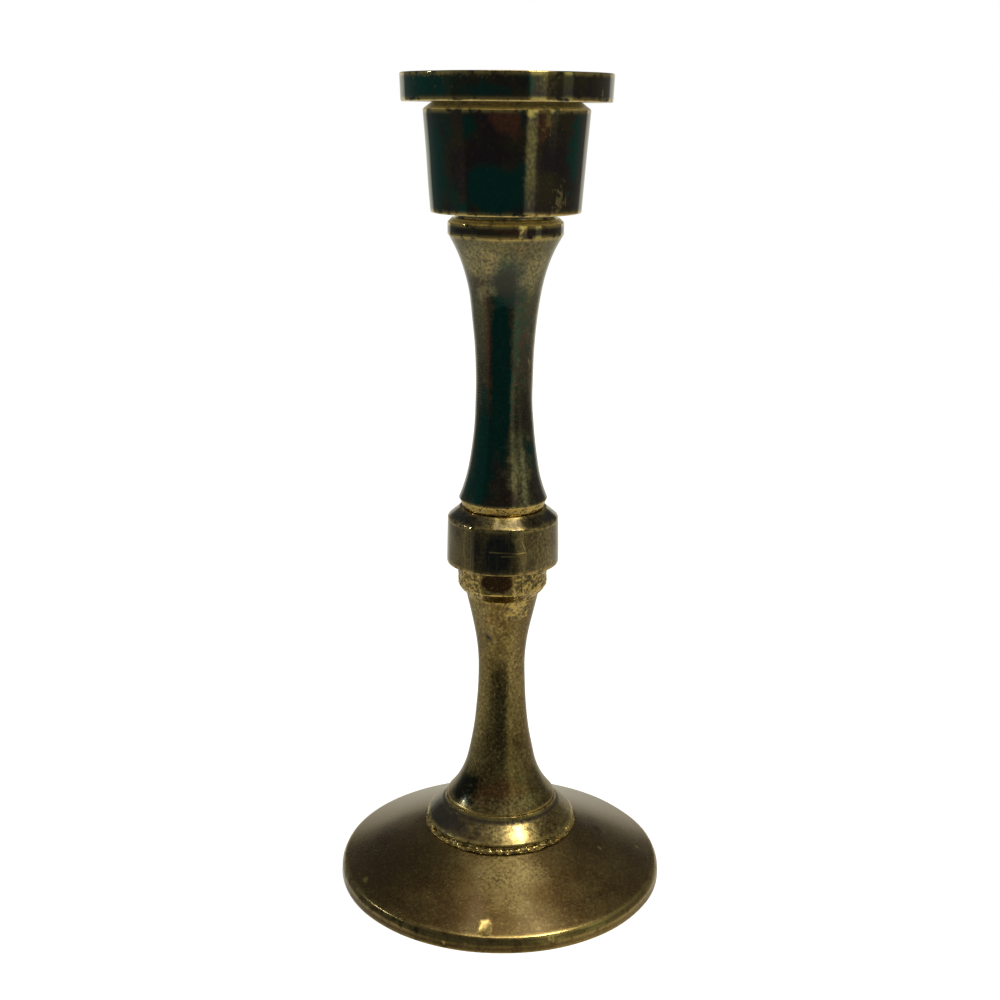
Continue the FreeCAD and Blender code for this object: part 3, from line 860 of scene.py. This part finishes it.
def knop():
    radius, bottom, top = span("knop")
    outline = Outline(0.18)
    outline.hidden((RECESS_RADIUS, top))
    outline.to(KNOP_CROWN_RADIUS, top, soft=0.12)
    outline.to(KNOP_TOP_RADIUS, top - KNOP_CROWN_HEIGHT, soft=0.22)
    outline.to(radius, bottom, soft=0.3)
    outline.hidden((RECESS_RADIUS, bottom), (RECESS_RADIUS, bottom + RECESS_DEPTH))
    outline.hidden((ROD_BORE_RADIUS, bottom + RECESS_DEPTH), (ROD_BORE_RADIUS, top - RECESS_DEPTH))
    outline.hidden((RECESS_RADIUS, top - RECESS_DEPTH))
    made = Turning(outline, 600)
    made.uneven(4.0, 0.05, 17)
    # Painted shade: dark patches on the front and on the crown, with dirt colour laid over the crown's
    # left as painted shade.
    made.paint("dark", -6, 5.6, 7.5, ragged=0.25, soft=0.5, height=68.5)
    made.paint("dark", -30, 2.6, 8.0, 0.7, ragged=0.4, seed=1, height=69.0)
    made.paint("dark", -60, 11.0, 3.4, seed=2, radius=9.4)
    made.paint("grime_and_shade", -66, 8.0, 2.6, 0.5, seed=6, radius=9.4)
    made.paint("dark", 66, 6.0, 3.0, 0.8, seed=3, radius=9.4)
    # Painted highlights on the crown and on the right.
    made.paint("light", -12, 6.0, 2.4, 0.6, seed=4, radius=9.0)
    made.paint("light", 50, 7.0, 8.0, 0.25, ragged=0.9, seed=5, height=68.5)
    made.scratch((-13.4, 68.9), (23.7, 68.8), 0.07, 0.03, worn_and_highlight=1.0)
    made.scratch((-2, 68.25), (12.7, 68.2), 0.05, 0.02, worn_and_highlight=0.6)
    made.scratch((19.5, 70.9), (22.8, 69.2), 0.08, 0.03, worn_and_highlight=0.9)
    made.scratch((22.8, 69.2), (24.8, 66.6), 0.06, 0.02, worn_and_highlight=0.5, fade=0.7)
    for angle, height in ((42.2, 65.1), (37.0, 64.9), (60.8, 65.8)):
        made.dent(angle, 0.3, 0.3, 0.05, worn_and_highlight=1.0, height=height)
    for angle in (-44, -37, -29):
        made.dent(angle, 0.6, 0.25, 0.06, worn_and_highlight=1.0, height=73.1)
    return made


def lower_ring():
    radius, bottom, high = span("lower_ring")
    top = high - SPIGOT_LENGTH
    bevel_top = bottom + LOWER_RING_BEVEL_HEIGHT
    outline = Outline(0.15)
    outline.hidden((RECESS_RADIUS, bottom))
    outline.to(LOWER_RING_BOTTOM_RADIUS, bottom, soft=0.12, fine=False)
    outline.to(radius, bevel_top, soft=0.25)
    outline.to(radius, top, soft=0.15)
    outline.hidden((SPIGOT_RADIUS, top), (SPIGOT_RADIUS, high), (ROD_BORE_RADIUS, high))
    outline.hidden((ROD_BORE_RADIUS, bottom + RECESS_DEPTH), (RECESS_RADIUS, bottom + RECESS_DEPTH))
    made = Turning(outline, 480)
    made.uneven(1.5, 0.05, 18)
    pitted = made.sector(14, 330)
    made.lumps(0.42, 0.12, 62, worn_and_highlight=0.8, grime_and_shade=0.6, where=pitted)
    made.pits(170, 0.10, 0.12, 63, angles=(16, 328), worn_and_highlight=0.6, grime_and_shade=0.9)
    made.paint("stain", -8, 6.4, 3.8, ragged=0.15, soft=0.25, height=62.3)
    # Painted shade on the right.
    made.paint("dark", 30, 5.0, 3.6, 0.6, ragged=0.9, seed=1, height=62.3)
    made.paint("worn_and_highlight", -43, 0.8, 1.6, 0.9, seed=2, height=62.9)
    return made


def lower_stem():
    bottom = span("base_shoulder")[2]
    top = span("lower_ring")[1]
    waist_up = stem_curve(LOWER_WAIST, LOWER_STEM_TOP_END, top)
    waist_down = stem_curve(LOWER_WAIST, BELL_END, bottom + BELL_LIP_HEIGHT)
    outline = stem_outline("lower_stem", waist_down, LOWER_WAIST, waist_up, (bottom, top), soft=0.1)
    outline.to(BELL_END[0], bottom, soft=0.1, fine=False)
    outline.to(*waist_down[-1], soft=0.1)
    made = Turning(outline, 420)
    made.uneven(5.0, 0.05, 19)
    made.pits(260, 0.10, 0.05, 64, heights=(42.0, 58.0), worn_and_highlight=0.3, grime_and_shade=0.8)
    made.pits(160, 0.09, 0.04, 65, heights=(20.0, 42.0), worn_and_highlight=0.3, grime_and_shade=0.7)
    # A painted highlight on the top flare's right.
    made.paint("light", 26, 3.8, 4.0, ragged=0.8, height=56.6)
    made.paint("worn_and_highlight", 22, 2.2, 1.8, 0.7, ragged=0.9, seed=1, height=56.6)
    rough = made.sector(5, 50) * (made.height > 54.5)[:, None]
    made.lumps(0.45, 0.09, 66, worn_and_highlight=0.9, grime_and_shade=0.7, where=rough)
    # Painted highlights on the upper left and down the right.
    made.paint("light", -35, 4.0, 9.0, 0.5, ragged=0.6, seed=2, height=54.0)
    made.paint("light", 25, 2.6, 18.0, 0.4, seed=3, height=46.0)
    made.paint("stain", -28, 1.2, 1.4, 0.9, ragged=0.9, seed=4, height=54.2)
    made.dent(-31, 2.4, 1.1, 0.18, worn_and_highlight=0.3, grime_and_shade=1.0, tilt=-40, height=50.3)
    # Painted shade down the front and on the bell's left, a painted reflection on the left, and a painted
    # highlight on the bell's right.
    made.paint("dark", -2, 2.4, 22.0, 0.45, ragged=0.3, soft=0.8, seed=5, height=38.0)
    made.paint("light", -58, 2.6, 12.0, 0.5, seed=9, height=31.0)
    made.paint("dark", -52, 7.5, 6.5, ragged=0.3, soft=0.6, seed=6, height=19.2)
    made.paint("stain", 0, 8.0, 6.0, 0.5, seed=7, height=20.0)
    made.paint("light", 18, 10.0, 2.8, seed=8, height=17.8)
    made.paint("worn_and_highlight", 14, 6.0, 1.4, 0.4, ragged=0.8, seed=10, height=17.4)
    made.scratch((-7.5, 28.4), (-36, 24.0), 0.06, 0.02, worn_and_highlight=0.5)
    made.scratch((50, 26.5), (54, 21.0), 0.06, 0.02, worn_and_highlight=0.5)
    made.cover("worn_and_highlight", 0.45, bottom, bottom + 0.4, soft=0.2)
    return made


def base_shoulder():
    radius, low, top = span("base_shoulder")
    bottom = low + SPIGOT_LENGTH
    bead_top = span("braze_bead")[2]
    outline = Outline(0.2)
    outline.hidden((RECESS_RADIUS, top))
    outline.to(SHOULDER_LIP_RADIUS, top, soft=0.15)
    outline.to(*SHOULDER_CONE_TOP, soft=0.2)
    outline.to(radius, SHOULDER_EDGE_HEIGHT, soft=0.25)
    outline.to(radius - EDGE / 2, bead_top + EDGE / 2, soft=0.1)
    outline.to(SHOULDER_FOOT_RADIUS, bead_top, soft=0.1)
    outline.hidden((SHOULDER_FOOT_RADIUS, bottom), (SPIGOT_RADIUS, bottom), (SPIGOT_RADIUS, low))
    outline.hidden((ROD_BORE_RADIUS, low), (ROD_BORE_RADIUS, top - RECESS_DEPTH))
    outline.hidden((RECESS_RADIUS, top - RECESS_DEPTH))
    made = Turning(outline, 540)
    made.uneven(4.0, 0.05, 20)
    made.pits(140, 0.12, 0.06, 67, heights=(14.7, 17.0), worn_and_highlight=0.9, grime_and_shade=0.6)
    # Painted shade over the cone's left, with dirt colour laid on as painted shade; a painted highlight,
    # partly in worn gold, where the glow falls on the right.
    made.paint("dark", -68, 16.0, 5.0, 0.9, ragged=0.4, radius=12.8)
    made.paint("grime_and_shade", -50, 13.0, 4.6, 0.75, ragged=0.4, seed=4, radius=12.8)
    made.paint("light", 10, 12.0, 3.6, 0.9, seed=1, radius=12.6)
    made.paint("worn_and_highlight", 14, 4.0, 1.0, 0.9, ragged=0.9, seed=2, radius=11.3)
    made.paint("worn_and_highlight", 17, 5.0, 2.2, 0.6, ragged=0.9, seed=3, radius=13.0)
    return made


def braze_bead():
    radius, bottom, top = span("braze_bead")
    top_radius = span("base_shoulder")[0] - BEAD_TOP_INSET
    middle = (bottom + top) / 2
    outline = Outline(0.1)
    outline.hidden((SHOULDER_FOOT_RADIUS, bottom))
    outline.to(radius - BEAD_BOTTOM_INSET, bottom)
    outline.to((radius + top_radius) / 2 + BEAD_BULGE, middle)
    outline.to(top_radius, top - BEAD_TOP_GAP)
    outline.hidden((SHOULDER_FOOT_RADIUS, top - BEAD_TOP_GAP))
    made = Turning(outline, 720)
    made.uneven(1.1, 0.12, 21)
    made.lumps(0.7, 0.25, 22, worn_and_highlight=1.0, grime_and_shade=0.8)
    made.lumps(0.4, 0.08, 25, worn_and_highlight=1.0, grime_and_shade=0.4)
    # A painted highlight: worn gold over the bead's lit front right.
    made.paint("worn_and_highlight", 24, 15.0, 2.4, 0.8, ragged=0.9, soft=0.6, seed=1, height=middle)
    return made


def base_foot():
    radius, bottom, top = span("base_foot")
    bead = span("braze_bead")[0]
    rim_inner = radius - RIM_FOOT_WIDTH
    hollow_top = top - BASE_WALL
    outline = Outline(0.28)
    outline.to(rim_inner, bottom, soft=0.2, fine=False)
    outline.to(radius, bottom, soft=0.2)
    outline.to(radius - RIM_BAND_INSET, RIM_BAND_TOP, soft=0.3)
    outline.to(radius - RIM_TOP_INSET, RIM_HEIGHT, soft=0.3)
    outline.to(bead, top)
    outline.hidden((RECESS_RADIUS, top), (RECESS_RADIUS, top - RECESS_DEPTH))
    outline.hidden((ROD_BORE_RADIUS, top - RECESS_DEPTH), (ROD_BORE_RADIUS, BOSS_BOTTOM))
    outline.to(BOSS_RADIUS, BOSS_BOTTOM, soft=0.3)
    outline.to(BOSS_RADIUS + BOSS_SLOPE, hollow_top, soft=0.3)
    outline.to(bead, hollow_top)
    outline.to(rim_inner - BOSS_SLOPE, RIM_HEIGHT - BASE_WALL, soft=0.3)
    made = Turning(outline, 720)
    made.uneven(9.0, 0.06, 23)
    made.pits(70, 0.10, 0.03, 68, worn_and_highlight=0.4, grime_and_shade=0.5)
    made.dent(-5.2, 1.7, 3.0, 0.12, worn_and_highlight=1.0, radius=29.2)
    made.dent(-63, 1.1, 0.7, 0.06, worn_and_highlight=1.0, tilt=-30, radius=29.1)
    made.dent(70.2, 0.65, 0.65, 0.05, worn_and_highlight=1.0, radius=20.8)
    made.dent(88, 0.55, 0.55, 0.05, worn_and_highlight=1.0, radius=27.6)
    made.scratch((-32.2, 25.4), (-26.8, 25.8), 0.07, 0.02, worn_and_highlight=0.7, fade=0.6, by="radius")
    made.scratch((-40, 29.7), (-36.2, 30.4), 0.07, 0.02, worn_and_highlight=0.6, by="radius")
    made.scratch((41.2, 16.0), (47.8, 19.4), 0.08, 0.02, worn_and_highlight=0.4, by="radius")
    made.scratch((52.0, 21.0), (54.0, 24.0), 0.06, 0.02, worn_and_highlight=0.4, by="radius")
    # Painted shade on the left, across the front and low on the rim's left; a painted highlight on the
    # slope's front and a faint one low on the rim; a painted highlight line, in worn gold, along the
    # rim's top edge on the right.
    made.paint("dark", -70, 24.0, 16.0, 0.35, ragged=0.4, radius=25.0)
    made.paint("light", 5, 12.0, 14.0, 0.85, soft=1.2, seed=1, radius=18.0)
    made.paint("dark", -4, 34.0, 7.0, 0.35, ragged=0.4, soft=1.2, seed=6, radius=28.0)
    made.paint("light", -12, 5.0, 3.0, 0.12, ragged=0.8, seed=2, height=1.0)
    made.paint("dark", -58, 44.0, 3.4, 0.8, ragged=0.3, seed=3, height=1.2)
    made.paint("worn_and_highlight", 26, 34.0, 0.7, ragged=0.3, seed=4, height=RIM_HEIGHT)
    for angle in np.random.default_rng(69).uniform(-50, -25, 7):
        made.dent(angle, 0.35, 0.35, 0.05, worn_and_highlight=1.0, height=RIM_HEIGHT)
    for angle, height in ((-18.8, 0.9), (-11.2, 1.4), (16.8, 2.2), (18.0, 1.9)):
        made.dent(angle, 0.4, 0.7, 0.05, worn_and_highlight=1.0, height=height)
    return made


# ---- the steel fasteners ----
def washer(node):
    radius, bottom, top = span(node)
    outline = Outline(0.2)
    outline.to(ROD_BORE_RADIUS, bottom, soft=0.08)
    outline.to(radius, bottom, soft=0.1)
    outline.to(radius, top, soft=0.1)
    outline.to(ROD_BORE_RADIUS, top, soft=0.08)
    return outline


def plain_washer(node):
    made = Turning(washer(node), 180)
    made.uneven(1.5, 0.02, 24)
    return made


def lock_washer():
    radius = span("lock_washer")[0]
    gap = math.degrees(LOCK_WASHER_SLOT / radius)
    made = Turning(washer("lock_washer"), 180, gap=gap)
    made.angle = made.angle - 90
    return made


def hex_nut(node):
    bottom, top = span(node)[1:]
    corner = NUT_ACROSS_FLATS / math.sqrt(3)
    bore = span("tie_rod")[0]
    chamfer = 2 * EDGE
    outline = Outline(0.15)
    outline.to(bore, bottom, soft=0.1)
    outline.to(corner - chamfer, bottom)
    outline.to(corner, bottom + chamfer)
    outline.to(corner, top - chamfer)
    outline.to(corner - chamfer, top)
    outline.to(bore, top, soft=0.1)
    made = Turning(outline, 360)
    from_flat = (made.angle + 90) % 60 - 30
    made.limit = NUT_ACROSS_FLATS / 2 / np.cos(np.radians(from_flat))
    return made


def tie_rod():
    radius, bottom, top = span("tie_rod")
    bevel = 2 * EDGE
    outline = Outline(0.08, closed=False)
    outline.to(0, bottom)
    outline.to(radius - bevel, bottom)
    outline.to(radius, bottom + bevel)
    outline.to(radius, bottom + THREAD_LENGTH)
    outline.hidden((radius, top - THREAD_LENGTH))
    outline.to(radius, top - bevel)
    outline.to(radius - bevel, top)
    outline.to(0, top)
    made = Turning(outline, 96)
    turn = made.height[:, None] / THREAD_PITCH - made.angle[None, :] / 360
    ridge = 2 * np.abs(turn % 1 - 0.5)
    from_end = np.minimum(made.height - bottom, top - made.height)
    threaded = (from_end <= THREAD_LENGTH) & (made.radius > radius - bevel / 2)
    made.raised -= THREAD_DEPTH * ridge * threaded[:, None]
    return made


# ---- put together ----
def build():
    # In each material, dark is the colour of its dark blotches and painted shade, and pale that of its
    # speckles and painted highlights.
    dark = aged_brass(
        "dark_patina_brass", brown=rgb(0.055, 0.04, 0.045), olive=rgb(0.085, 0.07, 0.035),
        dark=rgb(0.002, 0.10, 0.08), stain=rgb(0.34, 0.12, 0.06), dark_share=0.3, wear=0.9,
        speckle=0.05, pepper=0.0, mottle=0.2, rough=(0.07, 0.14), coat=0.4, coat_rough=0.04,
        anisotropic=0.2)
    knop_brass = aged_brass(
        "knop_patina_brass", brown=rgb(0.10, 0.075, 0.032), olive=rgb(0.17, 0.13, 0.05),
        dark=rgb(0.04, 0.04, 0.038), dark_share=0.2, speckle=0.25, streaks=0.2, rough=(0.12, 0.25),
        coat=0.5, coat_rough=0.06, anisotropic=0.2)
    upper = aged_brass(
        "upper_stem_brass", brown=rgb(0.07, 0.055, 0.04), olive=rgb(0.11, 0.105, 0.055),
        dark=rgb(0.002, 0.085, 0.065), stain=rgb(0.12, 0.045, 0.03), pale=rgb(0.46, 0.39, 0.20),
        dark_share=0.25, speckle=0.2, pepper=0.3, mottle=0.25, rough=(0.16, 0.3), coat=0.4,
        coat_rough=0.10)
    lower = aged_brass(
        "lower_stem_brass", brown=rgb(0.20, 0.135, 0.05), olive=rgb(0.32, 0.24, 0.09),
        dark=rgb(0.03, 0.030, 0.018), stain=rgb(0.40, 0.16, 0.06), dark_share=0.15,
        speckle=0.5, pepper=0.8, mottle=0.5, coat=0.12)
    pale = aged_brass(
        "pale_pitted_brass", brown=rgb(0.48, 0.33, 0.10), olive=rgb(0.66, 0.49, 0.17),
        dark=rgb(0.03, 0.03, 0.02), stain=rgb(0.08, 0.025, 0.015), dark_share=0.0,
        speckle=0.7, pepper=0.9, speckle_size=0.4, wear=0.95, rough=(0.18, 0.34), mottle=0.6, coat=0.1)
    base = aged_brass(
        "base_patina_brass", brown=rgb(0.20, 0.125, 0.042), olive=rgb(0.25, 0.175, 0.062),
        dark=rgb(0.07, 0.04, 0.02), dark_share=0.1, speckle=0.25, pepper=0.3, wear=0.35,
        mottle=0.25, rough=(0.24, 0.35), rings=0.35)
    braze = aged_brass(
        "braze_metal", brown=rgb(0.68, 0.47, 0.14), olive=rgb(0.86, 0.64, 0.22),
        pale=rgb(0.95, 0.74, 0.30), dark_share=0.0, speckle=0.4, pepper=0.3, wear=0.8,
        rough=(0.20, 0.36), coat=0.2)
    sleeve = aged_brass("sleeve_brass", dark_share=0.2)
    steel = dull_steel("dull_steel")
    sections = [
        ("drip_pan", drip_pan(), dark, "dark_brass"),
        ("candle_sleeve", candle_sleeve(), sleeve, "sleeve_brass"),
        ("candle_cup", candle_cup(), dark, "dark_brass"),
        ("cup_collar", cup_collar(), dark, "dark_brass"),
        ("upper_stem", upper_stem(), upper, "stem_brass"),
        ("upper_ring", upper_ring(), pale, "pale_brass"),
        ("knop", knop(), knop_brass, "dark_brass"),
        ("lower_ring", lower_ring(), pale, "pale_brass"),
        ("lower_stem", lower_stem(), lower, "stem_brass"),
        ("base_shoulder", base_shoulder(), lower, "stem_brass"),
        ("braze_bead", braze_bead(), braze, "braze_metal"),
        ("base_foot", base_foot(), base, "base_brass"),
        ("tie_rod", tie_rod(), steel, "steel"),
        ("top_washer", plain_washer("top_washer"), steel, "steel"),
        ("top_nut", hex_nut("top_nut"), steel, "steel"),
        ("bottom_washer", plain_washer("bottom_washer"), steel, "steel"),
        ("lock_washer", lock_washer(), steel, "steel"),
        ("bottom_nut", hex_nut("bottom_nut"), steel, "steel"),
    ]
    for node, turning, material, slot in sections:
        turning.piece(node, material, slot)


# ---- surroundings ----
def floor():
    made = bmesh.new()
    bmesh.ops.create_circle(made, cap_ends=True, segments=96, radius=FLOOR_RADIUS * MM)
    mesh = bpy.data.meshes.new("floor")
    made.to_mesh(mesh)
    made.free()
    material, graph = new_material("pale_floor")
    cloud = graph.noise(graph.place(), FLOOR_CLOUD, detail=3.0)
    graph.surface({
        "Base Color": graph.mix(cloud, rgb(0.93, 0.93, 0.92), rgb(0.96, 0.96, 0.955)),
        "Roughness": 0.9,
        "Emission Color": rgb(1, 1, 1),
        "Emission Strength": 0.85,
    })
    mesh.materials.append(material)
    sheet = add_object("floor", mesh)
    sheet.visible_glossy = False


# The room that the brass reflects. Each part has azimuths, elevations, how soft its edges are each way,
# and its light. Azimuth 0 is behind the camera, 90 is to its right and 180 is behind the candlestick.
SURROUNDINGS = [
    ("backdrop", (142, 218), (-50, 8), (2, 2), rgb(0.66, 0.64, 0.54)),
    ("floor_left", (-150, -40), (-95, -12), (6, 6), rgb(0.42, 0.41, 0.34)),
    ("floor_right", (34, 150), (-95, -12), (6, 6), rgb(0.50, 0.47, 0.37)),
    ("room_left", (-142, -55), (-12, 45), (8, 8), rgb(0.12, 0.13, 0.12)),
    ("room_right", (46, 142), (-12, 45), (6, 6), rgb(0.14, 0.14, 0.12)),
    ("strip", (25, 42), (-14, 34), (2, 2), rgb(0.50, 0.53, 0.38)),
    ("second_strip", (61, 74), (-7, 34), (2, 2), rgb(0.40, 0.46, 0.34)),
    ("behind_camera", (-62, 26), (-29, 24), (3, 4), rgb(0.085, 0.09, 0.085)),
    ("floor_near", (-62, 62), (-95, -29), (3, 4), rgb(0.54, 0.49, 0.35)),
    ("ceiling", (-180, 180), (60, 95), (4, 4), rgb(0.18, 0.17, 0.14)),
]
ROOM = rgb(0.09, 0.088, 0.08)


def world():
    made = bpy.data.worlds.new("studio")
    bpy.context.scene.world = made
    made.use_nodes = True
    graph = Graph(made.node_tree)
    way = graph.add("TexCoord").outputs["Generated"]
    axes = graph.add("SeparateXYZ", {0: way}).outputs
    azimuth = graph.math("ARCTAN2", axes[0], graph.times(axes[1], -1.0))
    elevation = graph.math("ARCSINE", axes[2])
    light = ROOM
    for _, (left, right), (low, high), soft, colour in SURROUNDINGS:
        blur, rise_blur = (math.radians(value) for value in soft)
        middle = math.radians((left + right) / 2)
        half = math.radians((right - left) / 2)
        off = graph.math("WRAP", graph.math("SUBTRACT", azimuth, middle), math.pi)
        off.node.inputs[2].default_value = -math.pi
        share = graph.between(graph.math("ABSOLUTE", off), half + blur, half - blur)
        middle = math.radians((low + high) / 2)
        half = math.radians((high - low) / 2)
        off = graph.math("ABSOLUTE", graph.math("SUBTRACT", elevation, middle))
        share = graph.times(share, graph.between(off, half + rise_blur, half - rise_blur))
        light = graph.mix(share, light, colour)
    seen = graph.add("LightPath").outputs["Is Camera Ray"]
    colour = graph.mix(seen, light, rgb(1.0, 1.0, 1.0))
    background = graph.add("Background", {"Color": colour, "Strength": 1.0})
    output = graph.add("OutputWorld")
    graph.set(output.inputs["Surface"], background.outputs[0])


# Lights: name, azimuth, elevation, width, height, radiance and colour.
LIGHTS = [
    ("overhead", 90, 84, 320, 560, 2.2, (1.0, 0.94, 0.80)),
    ("key", 50, 62, 200, 200, 14.0, (1.0, 0.95, 0.82)),
    ("window", -93, 25, 50, 90, 40.0, (0.85, 0.93, 1.0)),
]


def softbox(name, azimuth, elevation, width, height, radiance, colour):
    """A rectangular light that faces the middle of the candlestick."""
    data = bpy.data.lights.new(name, "AREA")
    data.shape = "RECTANGLE"
    data.size = width * MM
    data.size_y = height * MM
    data.energy = radiance * math.pi * width * height * MM * MM
    data.color = colour
    made = add_object(name, data)
    middle = (cad_low + cad_high) / 2
    turn, rise = math.radians(azimuth), math.radians(elevation)
    way = Vector((math.sin(turn) * math.cos(rise), -math.cos(turn) * math.cos(rise), math.sin(rise)))
    made.location = middle + way * LIGHT_DISTANCE * MM
    made.rotation_mode = "QUATERNION"
    made.rotation_quaternion = way.to_track_quat("Z", "Y")
    made.visible_camera = False


def camera():
    data = bpy.data.cameras.new("camera")
    data.sensor_width = SENSOR
    data.lens = LENS
    data.clip_start = 0.01
    made = add_object("camera", data)
    place = Matrix.Translation(Vector((CAMERA_SIDE, -CAMERA_DISTANCE, CAMERA_HEIGHT)) * MM)
    pitch = Matrix.Rotation(math.radians(90 - CAMERA_PITCH), 4, "X")
    roll = Matrix.Rotation(math.radians(CAMERA_ROLL), 4, "Z")
    made.matrix_world = place @ pitch @ roll
    bpy.context.scene.camera = made


camera()
build()
floor()
world()
for light in LIGHTS:
    softbox(*light)
bpy.context.scene.view_settings.view_transform = "Standard"
